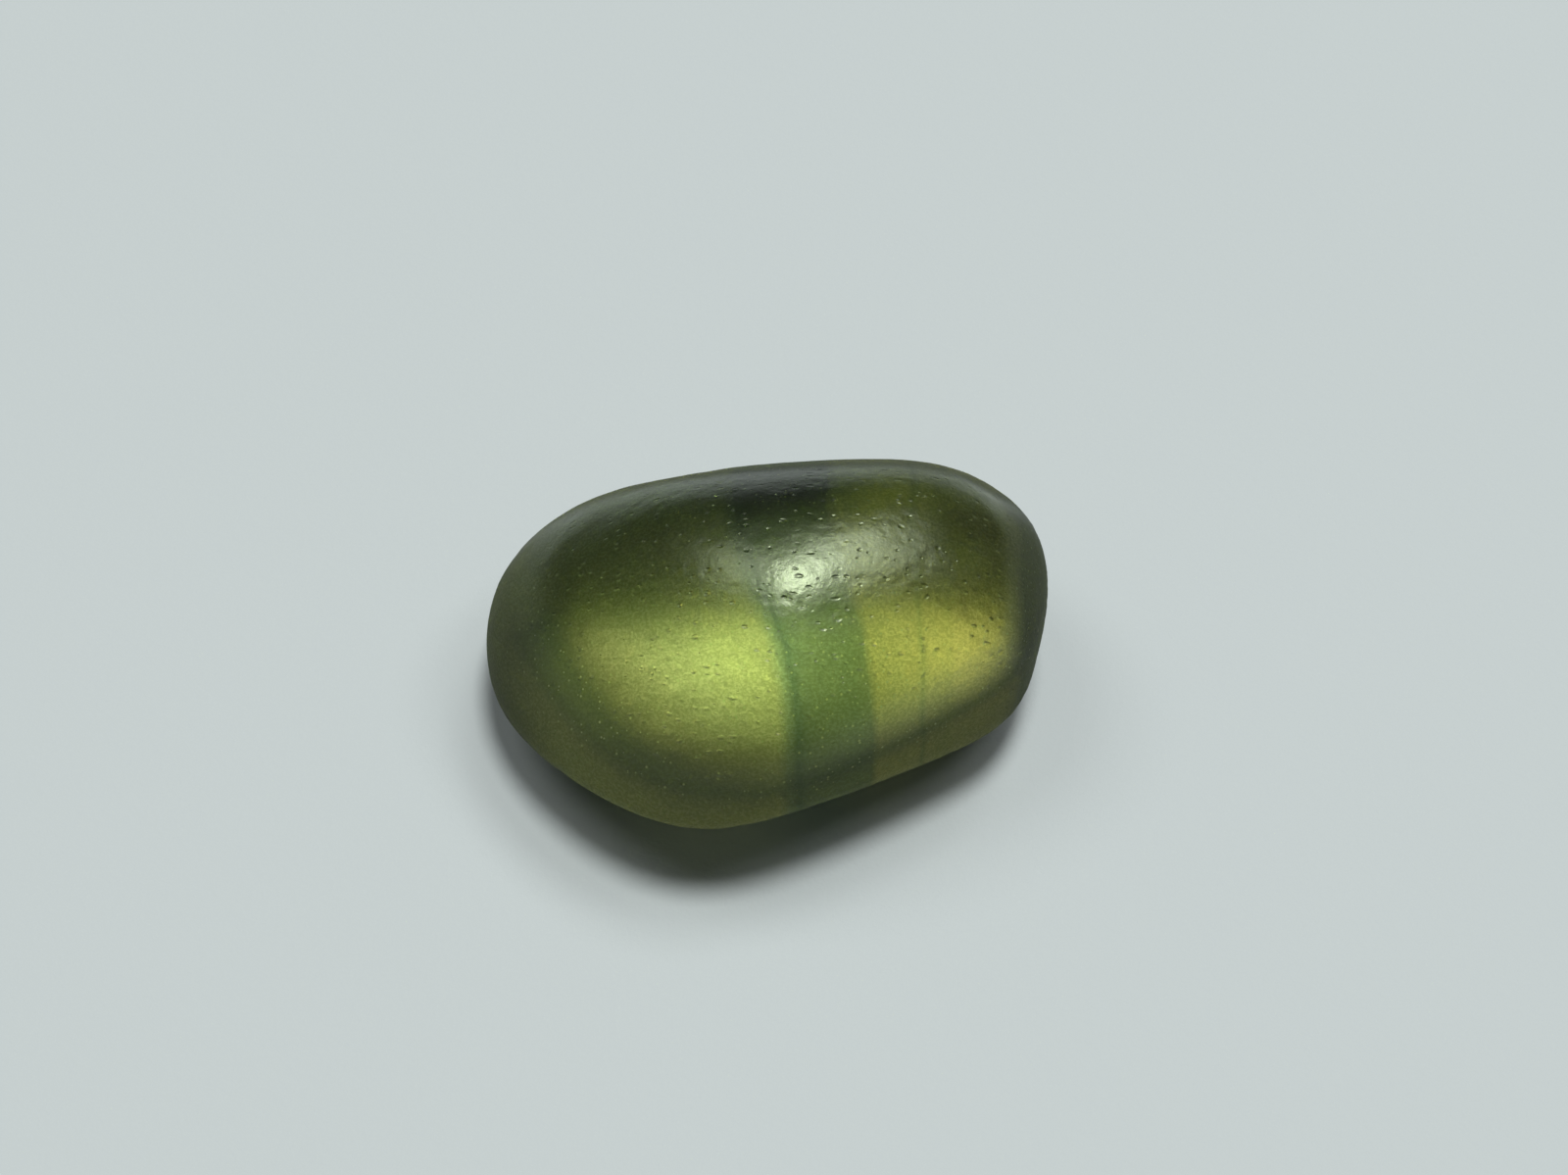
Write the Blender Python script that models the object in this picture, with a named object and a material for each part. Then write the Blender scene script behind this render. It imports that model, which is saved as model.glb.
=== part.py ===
# Rough sapphire: one loose pebble of frosted, yellow-green corundum, worn round in a stream bed.
# It lies on its flattest side. +Z is up, +X points to the blunt end and +Y to the back.
import math

import bmesh
import bpy
import numpy as np
from mathutils import Vector, noise

MM = 0.001

# The worn flats that bound the stone: name, azimuth and elevation of the way each one faces, in
# degrees, and its distance from the middle of the stone, in millimetres.
# Azimuth 0 is the blunt end, 90 the back, 180 the narrow end and 270 the front.
WORN_FLATS = (
    ("blunt end", -8, 12, 5.85),
    ("blunt end, under", -10, -20, 5.60),
    ("blunt end, top", 0, 60, 5.40),
    ("narrow end", 175, 5, 6.12),
    ("narrow end, under", 180, -50, 5.35),
    ("narrow end, top", 195, 60, 4.25),
    ("back", 93, 33, 4.30),
    ("back, at the narrow end", 135, 35, 5.00),
    ("back, at the blunt end", 50, 30, 5.80),
    ("back, under", 105, -30, 4.40),
    ("back, under, at the blunt end", 50, -25, 5.70),
    ("back, top", 100, 45, 4.20),
    ("front", 265, 30, 4.50),
    ("front, top", 255, 45, 4.02),
    ("front right", 300, 0, 3.75),
    ("front right, top", 303, 45, 4.25),
    ("front right, shoulder", 298, 55, 4.35),
    ("front right, under", 285, -55, 2.35),
    ("front left", 220, -20, 5.25),
    ("front left, top", 210, 40, 4.50),
    ("front left, shoulder", 225, 46, 4.20),
    ("front left, under", 245, -45, 3.45),
    ("crown", 80, 85, 4.30),
    ("underside", 270, -90, 2.45),
)

# How crisp the rounded edges between the flats are: 2 would make a ball, 50 a cut gem.
EDGE_CRISPNESS = 9.0

# How much is worn off the underside to leave the flat that the stone rests on, in millimetres
RESTING_WEAR = 0.06

# Shallow hollows: name, azimuth and elevation of the middle, width and depth in millimetres
HOLLOWS = (
    ("shoulder of the blunt end", 30, 23, 1.80, 0.14),
    ("above the blunt end", 11, 37, 1.10, 0.10),
    ("face of the blunt end", -4, 2, 2.20, 0.10),
    ("back, at the narrow end", 118, 12, 1.80, 0.10),
    ("front left, low", 232, -22, 1.70, 0.06),
    ("back, at the blunt end", 62, -8, 1.50, 0.09),
    ("narrow end, top", 158, 34, 1.50, 0.05),
)

# The slow unevenness of a tumbled surface, in millimetres
WAVE_LENGTH = 2.6
WAVE_HEIGHT = 0.035

# Squares along each side of the cube that the stone is blown up from
SQUARES_ALONG_SIDE = 27

CORUNDUM_COLOUR = (0.40, 0.45, 0.12, 1.0)
CORUNDUM_IOR = 1.77
FROSTED_ROUGHNESS = 0.45


def clear_scene():
    for old in list(bpy.data.objects):
        bpy.data.objects.remove(old, do_unlink=True)


def facing(azimuth, elevation):
    """Unit vector that points along an azimuth and an elevation."""
    turn = math.radians(azimuth)
    rise = math.radians(elevation)
    return np.array((math.cos(turn) * math.cos(rise), math.sin(turn) * math.cos(rise), math.sin(rise)))


def reach_of_flats(directions):
    """How far the stone reaches in each direction, where its flats meet in rounded edges."""
    total = np.zeros(len(directions))
    for _, azimuth, elevation, distance in WORN_FLATS:
        closeness = np.maximum(directions @ facing(azimuth, elevation) / distance, 0.0)
        total += closeness ** EDGE_CRISPNESS
    return total ** (-1.0 / EDGE_CRISPNESS)


def depth_of_hollows(points):
    """How deep the hollows are at each point of the surface."""
    depth = np.zeros(len(points))
    for _, azimuth, elevation, width, deepest in HOLLOWS:
        way = facing(azimuth, elevation)
        middle = way * reach_of_flats(way[None, :])
        apart = np.linalg.norm(points - middle, axis=1)
        depth += deepest * np.exp(-(2.0 * apart / width) ** 2)
    return depth


def height_of_waves(points):
    """The slow unevenness at each point of the surface."""
    return np.array([WAVE_HEIGHT * noise.noise(Vector(point) / WAVE_LENGTH) for point in points])


def worn_surface(directions):
    """Points of the stone's surface, in millimetres from its middle."""
    points = directions * reach_of_flats(directions)[:, None]
    change = height_of_waves(points) - depth_of_hollows(points)
    return points + directions * change[:, None]


def make_stone_mesh():
    mesh = bpy.data.meshes.new("rough_sapphire")
    shape = bmesh.new()
    bmesh.ops.create_cube(shape, size=2.0)
    bmesh.ops.subdivide_edges(shape, edges=shape.edges[:], cuts=SQUARES_ALONG_SIDE - 1, use_grid_fill=True)

    # The tangent spreads the squares evenly once the cube is a ball.
    corners = np.array([vertex.co for vertex in shape.verts])
    spread = np.tan(corners * math.pi / 4.0)
    directions = spread / np.linalg.norm(spread, axis=1)[:, None]
    for vertex, point in zip(shape.verts, worn_surface(directions) * MM):
        vertex.co = point

    # The underside is worn to one plane, which the stone rests on.
    lowest = min(vertex.co.z for vertex in shape.verts)
    cut = bmesh.ops.bisect_plane(
        shape,
        geom=shape.verts[:] + shape.edges[:] + shape.faces[:],
        dist=1e-7,
        plane_co=(0.0, 0.0, lowest + RESTING_WEAR * MM),
        plane_no=(0.0, 0.0, -1.0),
        clear_outer=True,
    )
    rim = [item for item in cut["geom_cut"] if isinstance(item, bmesh.types.BMEdge)]
    bmesh.ops.edgeloop_fill(shape, edges=rim)
    bmesh.ops.remove_doubles(shape, verts=shape.verts[:], dist=0.00002)
    bmesh.ops.recalc_face_normals(shape, faces=shape.faces[:])

    shape.to_mesh(mesh)
    shape.free()
    mesh.shade_smooth()
    mesh.set_sharp_from_angle(angle=math.radians(50.0))
    return mesh


def make_corundum():
    material = bpy.data.materials.new("frosted_corundum")
    material.use_nodes = True
    surface = material.node_tree.nodes["Principled BSDF"]
    surface.inputs["Base Color"].default_value = CORUNDUM_COLOUR
    surface.inputs["Metallic"].default_value = 0.0
    surface.inputs["Roughness"].default_value = FROSTED_ROUGHNESS
    surface.inputs["IOR"].default_value = CORUNDUM_IOR
    material.diffuse_color = CORUNDUM_COLOUR
    return material


def make_stone():
    mesh = make_stone_mesh()
    mesh.materials.append(make_corundum())
    stone = bpy.data.objects.new("rough_sapphire", mesh)

    # The box of the stone stands on the ground, centred on the origin.
    corners = np.array([vertex.co for vertex in mesh.vertices])
    low = corners.min(axis=0)
    high = corners.max(axis=0)
    stone.location = (-(low[0] + high[0]) / 2.0, -(low[1] + high[1]) / 2.0, -low[2])
    return stone


def main():
    clear_scene()
    collection = bpy.data.collections.new("Rough sapphire")
    bpy.context.scene.collection.children.link(collection)
    collection.objects.link(make_stone())


main()
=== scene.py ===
import math

import bmesh
import bpy
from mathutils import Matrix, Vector


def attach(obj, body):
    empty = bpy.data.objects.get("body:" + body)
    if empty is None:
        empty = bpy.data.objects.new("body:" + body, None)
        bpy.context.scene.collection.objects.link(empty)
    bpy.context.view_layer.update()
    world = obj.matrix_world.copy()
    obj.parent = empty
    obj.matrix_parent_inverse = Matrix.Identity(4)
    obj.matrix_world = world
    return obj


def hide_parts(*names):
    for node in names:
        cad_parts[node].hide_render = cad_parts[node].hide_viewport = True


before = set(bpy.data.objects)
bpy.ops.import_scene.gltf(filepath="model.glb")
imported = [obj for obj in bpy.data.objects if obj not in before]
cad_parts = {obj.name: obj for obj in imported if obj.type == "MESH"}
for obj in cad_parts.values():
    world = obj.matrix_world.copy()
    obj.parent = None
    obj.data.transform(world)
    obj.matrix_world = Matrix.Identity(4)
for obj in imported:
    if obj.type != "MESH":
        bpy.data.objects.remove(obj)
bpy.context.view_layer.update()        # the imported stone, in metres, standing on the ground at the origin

mm = 0.001
print("loaded the plain stone")


# Small helpers for node trees

def setSocket(tree, socket, value):
    # value is a number, a colour or the socket that feeds this one
    if isinstance(value, bpy.types.NodeSocket):
        tree.links.new(value, socket)
    else:
        socket.default_value = value


def addNode(tree, kind, settings=None, **values):
    node = tree.nodes.new(kind)
    for key, value in (settings or {}).items():
        setattr(node, key, value)
    for key, value in values.items():
        setSocket(tree, node.inputs[key.replace("_", " ")], value)
    return node


def maths(tree, operation, first, second=0.0, third=0.0, clamp=False):
    node = tree.nodes.new("ShaderNodeMath")
    node.operation = operation
    node.use_clamp = clamp
    for socket, value in zip(node.inputs, (first, second, third)):
        setSocket(tree, socket, value)
    return node.outputs[0]


def vectorMaths(tree, operation, first, second):
    node = tree.nodes.new("ShaderNodeVectorMath")
    node.operation = operation
    setSocket(tree, node.inputs[0], first)
    setSocket(tree, node.inputs["Scale" if operation == "SCALE" else 1], second)
    return node.outputs[0]


def ease(tree, value, start, end, low=0.0, high=1.0):
    # goes smoothly from low to high while value goes from start to end
    node = addNode(tree, "ShaderNodeMapRange", {"interpolation_type": "SMOOTHSTEP"}, Value=value,
                   From_Min=start, From_Max=end, To_Min=low, To_Max=high)
    return node.outputs["Result"]


def noiseValue(tree, place, size, detail=2.0, roughness=0.5, stretch=None):
    # size is the width of one swell, in metres, as a number or a socket
    if stretch:
        place = vectorMaths(tree, "MULTIPLY", place, stretch)
    scale = maths(tree, "DIVIDE", 1.0, size) if isinstance(size, bpy.types.NodeSocket) else 1.0 / size
    node = addNode(tree, "ShaderNodeTexNoise", Vector=place, Scale=scale, Detail=detail, Roughness=roughness)
    return node.outputs[0]


def evenNoise(tree, *settings):
    # as much below nought as above it
    return maths(tree, "SUBTRACT", noiseValue(tree, *settings), 0.5)


def mixColours(tree, share, first, second, blend="MIX"):
    node = addNode(tree, "ShaderNodeMix", {"data_type": "RGBA", "blend_type": blend})
    for index, value in ((0, share), (6, first), (7, second)):    # the node's share and its two colours
        setSocket(tree, node.inputs[index], value)
    return node.outputs[2]


def tinted(tree, colour, amount, tint):
    return mixColours(tree, amount, colour, (*tint, 1.0), "MULTIPLY")


# The worn skin of the pebble: pits, swells and ripples that are deep enough to be real shape

skin = {
    "node": "rough_sapphire",
    "slot": "frosted_corundum",
    "weldGap": 1e-7,           # metres: corners of the plain stone closer than this become one
    "flatBottom": 0.01 * mm,   # faces this close to the ground are the flat that it rests on
    "quadAngle": 40.0,         # degrees, for joining the plain stone's triangles in squares
    "roundingLevels": 2,
    "dentSpacing": 0.75 * mm,
    "dentRadius": 0.42 * mm,
    "dentDepth": 0.010 * mm,
    "pitSpacing": 0.26 * mm,
    "pitRadius": 0.15 * mm,
    "pitDepth": 0.010 * mm,
    "smallest": 0.35,          # width and depth of the smallest dent or pit, as a share of the largest
    "mostPerArea": 3.0e7,      # a square metre; the spacing keeps them fewer
    "swellSize": 0.9 * mm,
    "swellHeight": 0.020 * mm,
    "swellRoughness": 0.45,
    "rippleSize": 0.26 * mm,
    "rippleHeight": 0.034 * mm,
    "rippleRoughness": 0.6,
    "rippleStretch": (0.55, 1.6, 1.6),
    "rippleEnd": (2.6 * mm, 4.6 * mm),    # along X, where the ripples of the blunt end grow
    "rippleBack": (0.0, 1.8 * mm),        # along Y, where those of the back grow
    "rippleBackShare": 0.4,
    "rippleElsewhere": 0.04,
    "noiseDetail": 2.0,
    "lift": (0.02 * mm, 0.5 * mm),        # height over which the wear begins, above the flat underneath
    "seed": 7,
    "pitSeedStep": 5.0,
}


def makeRoundedPebble():
    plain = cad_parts[skin["node"]].data.copy()
    work = bmesh.new()
    work.from_mesh(plain)
    bmesh.ops.remove_doubles(work, verts=work.verts[:], dist=skin["weldGap"])

    # one face underneath, with a crisp rim, and squares everywhere else
    resting = [face for face in work.faces if max(v.co.z for v in face.verts) < skin["flatBottom"]]
    bottom = bmesh.ops.dissolve_faces(work, faces=resting)["region"]
    crease = work.edges.layers.float.new("crease_edge")
    for face in bottom:
        for edge in face.edges:
            edge[crease] = 1.0
    angle = math.radians(skin["quadAngle"])
    upper = [face for face in work.faces if len(face.verts) == 3]
    bmesh.ops.join_triangles(work, faces=upper, angle_face_threshold=angle, angle_shape_threshold=angle)

    mesh = bpy.data.meshes.new("sapphirePebble")
    work.to_mesh(mesh)
    work.free()
    mesh.shade_smooth()
    pebble = bpy.data.objects.new("sapphirePebble", mesh)
    bpy.context.scene.collection.objects.link(pebble)
    rounding = pebble.modifiers.new("rounding", "SUBSURF")
    rounding.levels = skin["roundingLevels"]
    rounding.render_levels = skin["roundingLevels"]
    return pebble


def addPits(tree, surface, spacing, radius, depth, seed):
    # round bowls around points scattered over the surface, each with a width and depth of its own
    scatter = addNode(tree, "GeometryNodeDistributePointsOnFaces", {"distribute_method": "POISSON"},
                      Mesh=surface, Distance_Min=spacing, Density_Max=skin["mostPerArea"], Seed=seed)
    points = scatter.outputs["Points"]
    near = addNode(tree, "GeometryNodeProximity", {"target_element": "POINTS"}, Geometry=points)
    nearest = addNode(tree, "GeometryNodeSampleNearest", {"domain": "POINT"}, Geometry=points)
    chance = addNode(tree, "FunctionNodeRandomValue", {"data_type": "FLOAT"}, Seed=seed)
    chance.inputs[2].default_value = skin["smallest"]
    chance.inputs[3].default_value = 1.0
    kept = addNode(tree, "GeometryNodeSampleIndex", {"data_type": "FLOAT", "domain": "POINT"},
                   Geometry=points, Value=chance.outputs[1], Index=nearest.outputs["Index"])
    width = maths(tree, "MULTIPLY", kept.outputs[0], radius)
    bowl = ease(tree, maths(tree, "DIVIDE", near.outputs["Distance"], width), 1.0, 0.0)
    return maths(tree, "MULTIPLY", maths(tree, "MULTIPLY", bowl, kept.outputs[0]), depth)


def makeSkinTree(material):
    tree = bpy.data.node_groups.new("wornSkin", "GeometryNodeTree")
    face = tree.interface
    face.new_socket("Geometry", in_out="INPUT", socket_type="NodeSocketGeometry")
    for name in ("dentSpacing", "dentRadius", "dentDepth", "pitSpacing", "pitRadius", "pitDepth",
                 "swellSize", "swellHeight", "rippleSize", "rippleHeight"):
        face.new_socket(name, in_out="INPUT", socket_type="NodeSocketFloat")
    face.new_socket("seed", in_out="INPUT", socket_type="NodeSocketInt")
    face.new_socket("Geometry", in_out="OUTPUT", socket_type="NodeSocketGeometry")

    given = tree.nodes.new("NodeGroupInput").outputs
    place = tree.nodes.new("GeometryNodeInputPosition").outputs[0]
    facing = tree.nodes.new("GeometryNodeInputNormal").outputs[0]
    along = addNode(tree, "ShaderNodeSeparateXYZ", Vector=place).outputs

    # hollows of two sizes are worn in
    dents = addPits(tree, given["Geometry"], given["dentSpacing"], given["dentRadius"], given["dentDepth"],
                    given["seed"])
    pits = addPits(tree, given["Geometry"], given["pitSpacing"], given["pitRadius"], given["pitDepth"],
                   maths(tree, "ADD", given["seed"], skin["pitSeedStep"]))

    # slow swells all over, and fine ripples, mostly round the blunt end and on the back
    swell = evenNoise(tree, place, given["swellSize"], skin["noiseDetail"], skin["swellRoughness"])
    swells = maths(tree, "MULTIPLY", swell, given["swellHeight"])
    ripple = evenNoise(tree, place, given["rippleSize"], skin["noiseDetail"], skin["rippleRoughness"],
                       skin["rippleStretch"])
    bluntEnd = ease(tree, along["X"], *skin["rippleEnd"])
    upperBack = ease(tree, along["Y"], *skin["rippleBack"], 0.0, skin["rippleBackShare"])
    where = maths(tree, "MAXIMUM", maths(tree, "MAXIMUM", bluntEnd, upperBack), skin["rippleElsewhere"])
    ripples = maths(tree, "MULTIPLY", maths(tree, "MULTIPLY", ripple, given["rippleHeight"]), where)

    # the flat underneath stays flat
    height = maths(tree, "SUBTRACT", maths(tree, "ADD", swells, ripples), maths(tree, "ADD", dents, pits))
    height = maths(tree, "MULTIPLY", height, ease(tree, along["Z"], *skin["lift"]))
    moved = addNode(tree, "GeometryNodeSetPosition", Geometry=given["Geometry"],
                    Offset=vectorMaths(tree, "SCALE", facing, height))
    smooth = addNode(tree, "GeometryNodeSetShadeSmooth", Geometry=moved.outputs[0])
    real = addNode(tree, "GeometryNodeRealizeInstances", Geometry=smooth.outputs[0])
    dressed = addNode(tree, "GeometryNodeSetMaterial", Geometry=real.outputs[0], Material=material)
    end = tree.nodes.new("NodeGroupOutput")
    tree.links.new(dressed.outputs[0], end.inputs[0])
    return tree


def wearSkin(pebble, material):
    tree = makeSkinTree(material)
    wear = pebble.modifiers.new("wornSkin", "NODES")
    wear.node_group = tree
    for item in tree.interface.items_tree:
        if item.in_out == "INPUT" and item.name in skin:
            wear[item.identifier] = skin[item.name]
    shape = bpy.data.meshes.new_from_object(pebble.evaluated_get(bpy.context.evaluated_depsgraph_get()))
    pebble.modifiers.clear()
    pebble.data = shape
    shape.name = "sapphirePebble"


# Corundum: clear inside, with zones of colour across the length, painted shade at the back, at both ends and low
# down, and a frosted surface

corundum = {
    "ior": 1.77,
    "absorbColour": (0.93, 0.935, 0.42),
    "absorbDensity": 230.0,
    "sheen": (0.74, 0.86, 0.58),          # tint of what the surface reflects
    # a pair of places is where a change starts and where it is full
    "bend": (0.3 * mm, -3.5 * mm),        # along Y: to the front, the zones lean towards the blunt end
    "bendPlaces": (1.4 * mm, 3.4 * mm),   # along X, and how far they lean at each of the two places
    "bendReach": (1.15 * mm, 0.15 * mm),
    "wobbleSize": 1.6 * mm,
    "wobble": 0.16 * mm,
    "zoneSpan": 6.0 * mm,                 # the stops below run from minus this to plus this
    # place in mm from the middle, colour at the front, colour at the back; the back colours are darker copies of
    # the zones, painted shade, and the stops at both ends are painted shade
    "zones": [
        (-6.0, (0.06, 0.09, 0.04), (0.36, 0.47, 0.31)),
        (-5.0, (0.85, 0.92, 0.72), (0.64, 0.78, 0.54)),
        (-3.6, (0.97, 0.98, 0.86), (0.64, 0.78, 0.52)),
        (-2.0, (0.98, 0.98, 0.86), (0.50, 0.62, 0.36)),
        (-0.90, (0.96, 0.97, 0.80), (0.24, 0.34, 0.18)),
        (-0.68, (0.36, 0.52, 0.60), (0.02, 0.05, 0.06)),
        (-0.50, (0.10, 0.20, 0.26), (0.004, 0.016, 0.02)),
        (-0.30, (0.20, 0.32, 0.34), (0.004, 0.014, 0.016)),
        (-0.05, (0.24, 0.37, 0.33), (0.004, 0.014, 0.014)),
        (0.80, (0.22, 0.36, 0.28), (0.005, 0.015, 0.014)),
        (1.22, (0.26, 0.38, 0.28), (0.01, 0.025, 0.02)),
        (1.50, (0.88, 0.84, 0.46), (0.22, 0.29, 0.14)),
        (2.80, (0.94, 0.92, 0.58), (0.27, 0.35, 0.17)),
        (2.95, (0.56, 0.66, 0.42), (0.16, 0.21, 0.11)),
        (3.10, (0.96, 0.94, 0.62), (0.27, 0.35, 0.18)),
        (3.55, (0.80, 0.84, 0.52), (0.18, 0.23, 0.12)),
        (3.75, (0.98, 0.96, 0.66), (0.27, 0.35, 0.18)),
        (4.75, (0.94, 0.92, 0.60), (0.20, 0.26, 0.12)),
        (5.20, (0.08, 0.12, 0.03), (0.08, 0.12, 0.04)),
        (6.0, (0.04, 0.07, 0.02), (0.05, 0.08, 0.03)),
    ],
    "back": (-0.9 * mm, 0.8 * mm),        # along Y, where the painted shade of the back comes in at the narrow end
    "backOut": (3.2 * mm, 2.3 * mm),      # and where it ends again, further down the back
    # how much further back the painted shade comes in, and from where to where along X that grows
    "backSteps": [(0.4 * mm, -5.0 * mm, -1.0 * mm), (1.4 * mm, 1.2 * mm, 2.6 * mm)],
    "patchSize": 0.8 * mm,                # patches that make the edge of the painted back shade uneven
    "patchReach": 0.9 * mm,
    "low": (4.6 * mm, 3.3 * mm),          # height at which the painted shade on the front begins
    "lowTilt": 0.15,                      # how much higher that lies for each step towards the narrow end
    "lowFront": (0.6 * mm, -0.6 * mm),    # along Y
    "lowPaintedShade": (0.07, 0.11, 0.04),
    "rim": (3.5 * mm, 2.8 * mm),          # height at which the painted light rim below it begins
    "rimShare": 0.95,
    "under": (2.2 * mm, 0.8 * mm),        # height at which the painted shade of the underside begins
    "underPaintedShade": (0.03, 0.04, 0.02),
    "restingFlat": (0.015 * mm, 0.030 * mm),  # below this, the flat that it rests on stays clear of the painted underside shade
    "roughness": 0.33,
    "roughnessSpread": 0.05,
    "roughnessPatch": 0.5 * mm,
    "sideRoughness": 0.60,                # added low on the sides and at both ends, frosted more deeply
    "side": (4.5 * mm, 3.0 * mm),         # in height
    "end": (4.6 * mm, 5.5 * mm),          # from the middle, both ways
    "hiddenBack": (2.3 * mm, 0.92 * mm),  # along Y, and the share of the added roughness that it gets
    "hiddenBackShare": 0.3,
    "crestRoughness": 0.50,               # added along the top of the back, as far down as it shows
    "crest": (1.9 * mm, 2.8 * mm),
    "crestOut": (3.9 * mm, 3.2 * mm),
    "flatRoughness": 0.15,                # roughness of the flat that it rests on, which is rubbed smooth
    "flatEdge": (0.02 * mm, 0.12 * mm),   # height over which that becomes the frost
    "mottleSize": 0.055 * mm,             # fine mottling of the frost
    "mottleStretch": (0.8, 1.0, 1.0),
    "mottleRange": (0.64, 0.42),          # of the noise, from bare to fully mottled
    "mottleDark": (0.50, 0.53, 0.44),
    "speckSize": 0.12 * mm,               # pale bruises, one in some of the cells of this size
    "speckWidth": 0.30,                   # of the widest, as a share of its cell
    "speckNarrowest": 0.4,                # of the narrowest, as a share of the widest
    "speckShare": 0.60,
    "speckCover": 0.85,
    "speckHeights": (2.2 * mm, 3.2 * mm),
    "speckColour": (0.60, 0.74, 0.52),
    "grainSize": 0.14 * mm,
    "grainHeight": 0.009 * mm,
    "fineDetail": 3.0,                    # layers of noise in the grain and the frost
    "pitSize": 0.14 * mm,                 # small pits, longer than they are wide
    "pitDepth": 0.010 * mm,
    "pitWidth": 0.42,                     # of the widest, as a share of its cell
    "pitStretch": (0.55, 1.0, 1.0),
    "pitWarpSize": 0.4 * mm,
    "pitWarp": 0.12 * mm,
}


def makeRamp(tree, position, column):
    ramp = addNode(tree, "ShaderNodeValToRGB", Fac=position)
    elements = ramp.color_ramp.elements
    span = corundum["zoneSpan"] / mm
    while len(elements) < len(corundum["zones"]):
        elements.new(0.5)
    for element, zone in zip(elements, corundum["zones"]):
        element.position = (zone[0] + span) / (2.0 * span)
        element.color = (*zone[column], 1.0)
    return ramp.outputs["Color"]


def addCells(tree, place, size):
    # distance from the middle of the cell, and three numbers that are the same all over it
    cells = addNode(tree, "ShaderNodeTexVoronoi", Vector=place, Scale=1.0 / size, Randomness=1.0)
    chances = addNode(tree, "ShaderNodeSeparateColor", Color=cells.outputs["Color"]).outputs
    return cells.outputs["Distance"], chances


def zonePosition(tree, place, along):
    # across the zones, from nought at the narrow end to one; they lean at the front, and wobble
    lean = ease(tree, along["Y"], *corundum["bend"])
    reach = ease(tree, along["X"], *corundum["bendPlaces"], *corundum["bendReach"])
    wobble = evenNoise(tree, place, corundum["wobbleSize"], 1.0)
    leaning = maths(tree, "MULTIPLY", lean, reach)
    shift = maths(tree, "MULTIPLY_ADD", wobble, corundum["wobble"] * 2.0, leaning)
    across = maths(tree, "SUBTRACT", along["X"], shift)
    return maths(tree, "MULTIPLY_ADD", across, 0.5 / corundum["zoneSpan"], 0.5, clamp=True)


def zonesAndPaintedShade(tree, place, along):
    # the zone colours at the front, where the light comes through, and darker copies of them at the back, which
    # are painted shade
    patches = evenNoise(tree, place, corundum["patchSize"])
    depth = maths(tree, "MULTIPLY_ADD", patches, corundum["patchReach"], along["Y"])
    notBeyond = ease(tree, depth, *corundum["backOut"])
    for size, start, finish in corundum["backSteps"]:
        depth = maths(tree, "SUBTRACT", depth, ease(tree, along["X"], start, finish, 0.0, size))
    back = maths(tree, "MULTIPLY", ease(tree, depth, *corundum["back"]), notBeyond)
    position = zonePosition(tree, place, along)
    return mixColours(tree, back, makeRamp(tree, position, 1), makeRamp(tree, position, 2))


def paintedShadeBelow(tree, along, colour):
    # painted shade: a dark band low on the front with a painted lighter rim below it, and painted shade on the
    # underside
    narrowSide = maths(tree, "MINIMUM", along["X"], 0.0)
    slanted = maths(tree, "MULTIPLY_ADD", narrowSide, corundum["lowTilt"], along["Z"])
    front = ease(tree, along["Y"], *corundum["lowFront"])
    low = maths(tree, "MULTIPLY", ease(tree, slanted, *corundum["low"]), front)
    notRim = ease(tree, along["Z"], *corundum["rim"], 1.0, 1.0 - corundum["rimShare"])
    colour = tinted(tree, colour, maths(tree, "MULTIPLY", low, notRim), corundum["lowPaintedShade"])
    notFlat = ease(tree, along["Z"], *corundum["restingFlat"])
    under = maths(tree, "MULTIPLY", ease(tree, along["Z"], *corundum["under"]), notFlat)
    return tinted(tree, colour, under, corundum["underPaintedShade"])


def frostColour(tree, place, along, colour):
    # the frost is mottled and has small pale bruises
    noise = noiseValue(tree, place, corundum["mottleSize"], corundum["fineDetail"], 0.7, corundum["mottleStretch"])
    mottled = tinted(tree, colour, ease(tree, noise, *corundum["mottleRange"]), corundum["mottleDark"])
    distance, chances = addCells(tree, place, corundum["speckSize"])
    narrowest = corundum["speckNarrowest"]
    width = maths(tree, "MULTIPLY_ADD", chances[1], 1.0 - narrowest, narrowest)
    width = maths(tree, "MULTIPLY", width, corundum["speckWidth"])
    speck = ease(tree, maths(tree, "DIVIDE", distance, width), 1.0, 0.5)
    speck = maths(tree, "MULTIPLY", speck, maths(tree, "LESS_THAN", chances[0], corundum["speckShare"]))
    speck = maths(tree, "MULTIPLY", speck, ease(tree, along["Z"], *corundum["speckHeights"]))
    speck = maths(tree, "MULTIPLY", speck, corundum["speckCover"])
    return mixColours(tree, speck, mottled, (*corundum["speckColour"], 1.0))


def frostRoughness(tree, place, along):
    # the frost is uneven, and deeper low on the sides, at the ends and along the crest
    patches = noiseValue(tree, place, corundum["roughnessPatch"], corundum["fineDetail"], 0.6)
    spread = corundum["roughnessSpread"]
    frost = maths(tree, "MULTIPLY_ADD", patches, 2.0 * spread, corundum["roughness"] - spread)
    side = ease(tree, along["Z"], *corundum["side"])
    end = ease(tree, maths(tree, "ABSOLUTE", along["X"]), *corundum["end"])
    notBack = ease(tree, along["Y"], *corundum["hiddenBack"], corundum["hiddenBackShare"], 1.0)
    deeper = maths(tree, "MULTIPLY", maths(tree, "MAXIMUM", side, end), corundum["sideRoughness"])
    deeper = maths(tree, "MULTIPLY", deeper, notBack)
    crest = maths(tree, "MULTIPLY", ease(tree, along["Y"], *corundum["crest"]),
                  ease(tree, along["Y"], *corundum["crestOut"]))
    deeper = maths(tree, "MAXIMUM", deeper, maths(tree, "MULTIPLY", crest, corundum["crestRoughness"]))
    frost = maths(tree, "ADD", frost, deeper)
    return ease(tree, along["Z"], *corundum["flatEdge"], corundum["flatRoughness"], frost)


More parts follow.
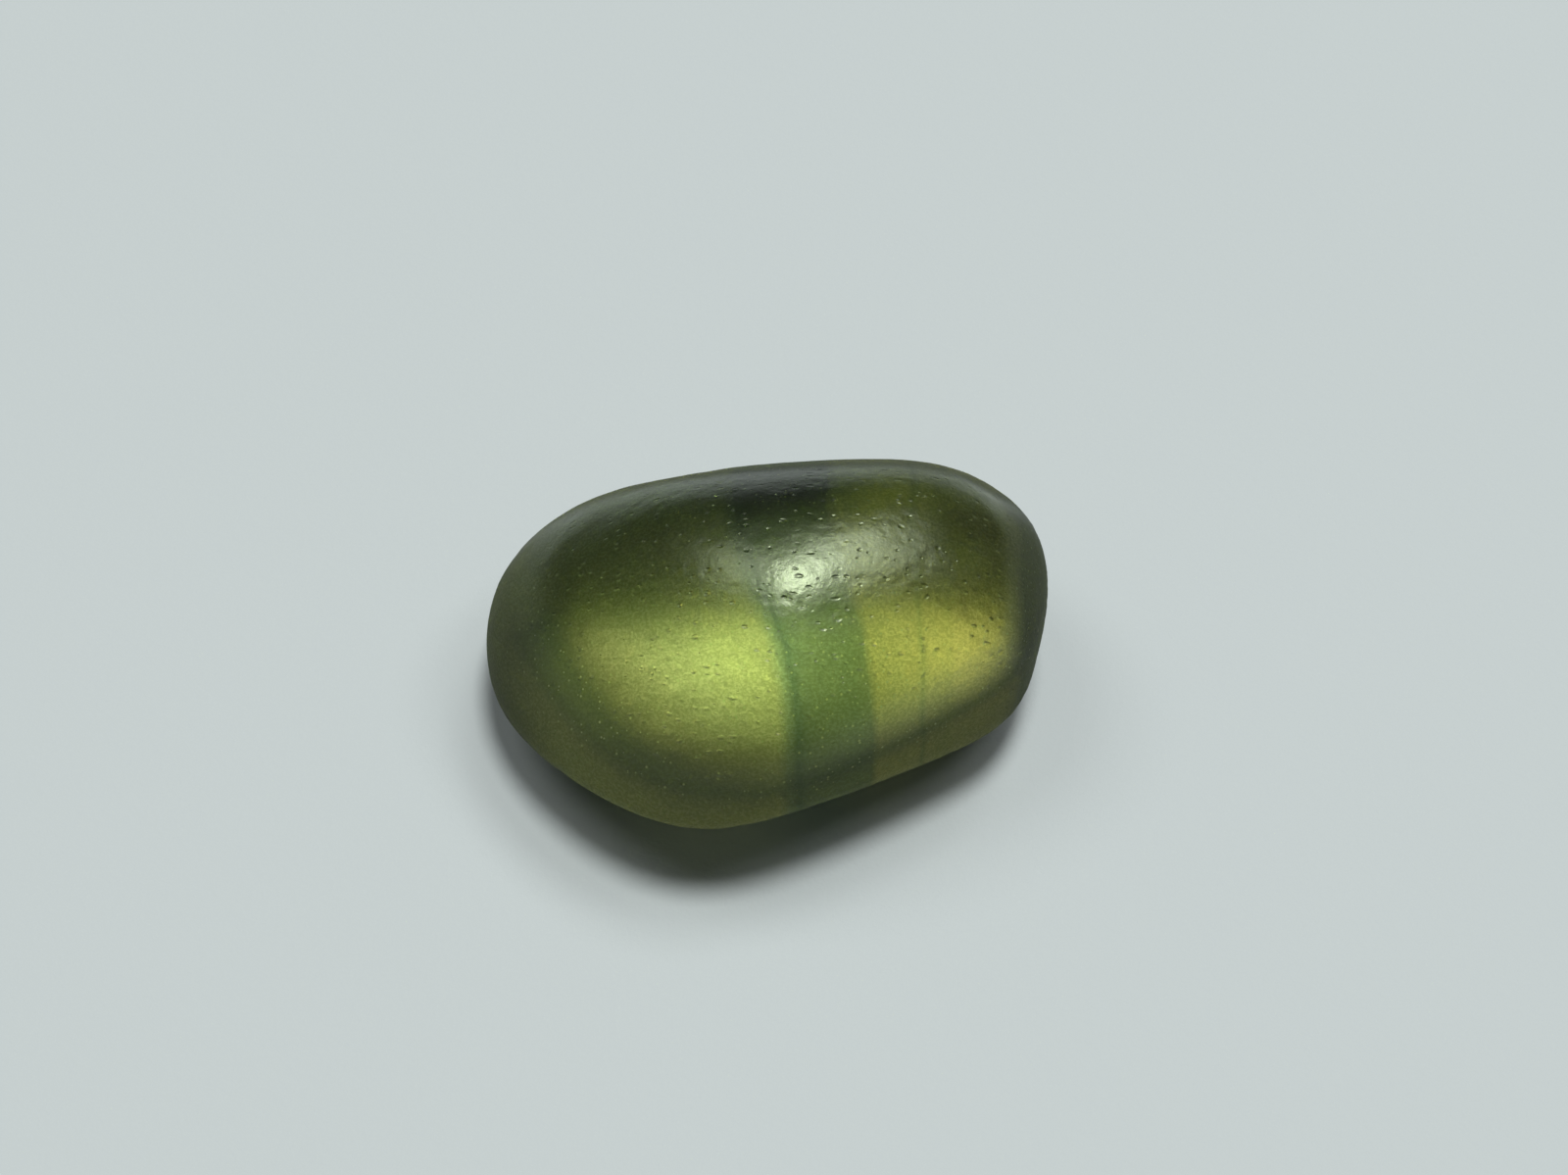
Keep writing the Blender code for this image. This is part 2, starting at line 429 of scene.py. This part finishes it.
def frostRelief(tree, place):
    # grain all over, and small pits
    grain = noiseValue(tree, place, corundum["grainSize"], corundum["fineDetail"], 0.6)
    grainBump = addNode(tree, "ShaderNodeBump", Height=grain, Distance=corundum["grainHeight"], Strength=1.0)
    stretched = vectorMaths(tree, "MULTIPLY", place, corundum["pitStretch"])
    warp = addNode(tree, "ShaderNodeTexNoise", Vector=place, Scale=1.0 / corundum["pitWarpSize"], Detail=1.0)
    shift = vectorMaths(tree, "SCALE", warp.outputs["Color"], corundum["pitWarp"])
    distance, chances = addCells(tree, vectorMaths(tree, "ADD", stretched, shift), corundum["pitSize"])
    width = maths(tree, "MULTIPLY", chances[0], corundum["pitWidth"])
    hollow = maths(tree, "MULTIPLY", ease(tree, maths(tree, "DIVIDE", distance, width), 1.0, 0.2), -1.0)
    pitBump = addNode(tree, "ShaderNodeBump", Height=hollow, Distance=corundum["pitDepth"], Strength=1.0,
                      Normal=grainBump.outputs[0])
    return pitBump.outputs[0]


def makeCorundum():
    material = bpy.data.materials.new("frostedCorundum")
    material.use_nodes = True
    tree = material.node_tree
    place = tree.nodes.new("ShaderNodeTexCoord").outputs["Object"]
    along = addNode(tree, "ShaderNodeSeparateXYZ", Vector=place).outputs
    # the zone colours, with painted shade at the back, at both ends, low on the front and underneath
    colour = paintedShadeBelow(tree, along, zonesAndPaintedShade(tree, place, along))

    surface = tree.nodes["Principled BSDF"]
    surface.distribution = "GGX"
    setSocket(tree, surface.inputs["Base Color"], frostColour(tree, place, along, colour))
    setSocket(tree, surface.inputs["Roughness"], frostRoughness(tree, place, along))
    setSocket(tree, surface.inputs["Normal"], frostRelief(tree, place))
    surface.inputs["Metallic"].default_value = 0.0
    surface.inputs["IOR"].default_value = corundum["ior"]
    surface.inputs["Transmission Weight"].default_value = 1.0
    surface.inputs["Specular Tint"].default_value = (*corundum["sheen"], 1.0)

    absorb = tree.nodes.new("ShaderNodeVolumeAbsorption")
    absorb.inputs["Color"].default_value = (*corundum["absorbColour"], 1.0)
    absorb.inputs["Density"].default_value = corundum["absorbDensity"]
    tree.links.new(absorb.outputs[0], tree.nodes["Material Output"].inputs["Volume"])
    return material


pebble = makeRoundedPebble()
print("rounded the stone")
wearSkin(pebble, makeCorundum())
print("wore the skin:", len(pebble.data.polygons), "faces")
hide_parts(skin["node"])
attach(pebble, "root")


# A sheet of pale paper to stand on

paper = {
    "size": 1.2,
    "below": 0.01 * mm,
    "colour": (0.405, 0.446, 0.443),
    "roughness": 0.9,
    "gloss": 0.1,
    "fibreSize": 0.22 * mm,
    "fibreDetail": 4.0,
    "fibreHeight": 0.012 * mm,
}


def makePaper():
    mesh = bpy.data.meshes.new("paperSheet")
    work = bmesh.new()
    bmesh.ops.create_grid(work, x_segments=1, y_segments=1, size=paper["size"] / 2.0)
    for vertex in work.verts:
        vertex.co.z = -paper["below"]
    work.to_mesh(mesh)
    work.free()
    sheet = bpy.data.objects.new("paperSheet", mesh)
    bpy.context.scene.collection.objects.link(sheet)

    material = bpy.data.materials.new("palePaper")
    material.use_nodes = True
    tree = material.node_tree
    surface = tree.nodes["Principled BSDF"]
    place = tree.nodes.new("ShaderNodeTexCoord").outputs["Object"]
    fibres = noiseValue(tree, place, paper["fibreSize"], paper["fibreDetail"], 0.6)
    bump = addNode(tree, "ShaderNodeBump", Height=fibres, Distance=paper["fibreHeight"], Strength=1.0)
    tree.links.new(bump.outputs[0], surface.inputs["Normal"])
    surface.inputs["Base Color"].default_value = (*paper["colour"], 1.0)
    surface.inputs["Roughness"].default_value = paper["roughness"]
    surface.inputs["Specular IOR Level"].default_value = paper["gloss"]
    mesh.materials.append(material)
    return sheet


makePaper()
print("laid the paper")


# Light and camera

studio = {
    "skyColour": (0.90, 0.95, 1.0),
    "skyStrength": 0.07,
    # name, azimuth, elevation, distance, width along X, depth, watts
    "lamps": [
        ("mainLamp", 345.0, 84.5, 1.5, 0.42, 0.36, 18.5),
        ("rightLamp", 50.0, 66.0, 1.5, 0.5, 0.5, 5.0),
        ("endLamp", 5.0, 60.0, 1.5, 0.5, 0.5, 3.6),
        ("leftLamp", 158.0, 64.0, 1.5, 0.7, 0.7, 4.8),
    ],
}

view = {
    "azimuth": 270.0,          # from the front
    "elevation": 55.0,
    "distance": 90.0 * mm,
    "lens": 96.0,
    "aim": (0.365 * mm, 3.130 * mm, 0.0),
    "clip": (1.0 * mm, 10.0),
}


def directionOf(azimuth, elevation):
    turn, rise = math.radians(azimuth), math.radians(elevation)
    return Vector((math.cos(turn) * math.cos(rise), math.sin(turn) * math.cos(rise), math.sin(rise)))


def addLamps():
    for name, azimuth, elevation, distance, width, depth, watts in studio["lamps"]:
        lamp = bpy.data.lights.new(name, "AREA")
        lamp.shape = "ELLIPSE"
        lamp.size = width
        lamp.size_y = depth
        lamp.energy = watts
        holder = bpy.data.objects.new(name, lamp)
        bpy.context.scene.collection.objects.link(holder)
        holder.location = directionOf(azimuth, elevation) * distance
        holder.rotation_euler = (-holder.location).to_track_quat("-Z", "Y").to_euler()


def addSky():
    sky = bpy.data.worlds.new("studioSky")
    bpy.context.scene.world = sky
    sky.use_nodes = True
    background = sky.node_tree.nodes["Background"]
    background.inputs["Color"].default_value = (*studio["skyColour"], 1.0)
    background.inputs["Strength"].default_value = studio["skyStrength"]


def addCamera():
    camera = bpy.data.cameras.new("camera")
    camera.lens = view["lens"]
    camera.clip_start, camera.clip_end = view["clip"]
    holder = bpy.data.objects.new("camera", camera)
    bpy.context.scene.collection.objects.link(holder)
    away = directionOf(view["azimuth"], view["elevation"])
    holder.location = Vector(view["aim"]) + away * view["distance"]
    holder.rotation_euler = (-away).to_track_quat("-Z", "Y").to_euler()
    bpy.context.scene.camera = holder


addLamps()
addSky()
addCamera()
bpy.context.scene.view_settings.view_transform = "Standard"
print("set the lamps and the camera")
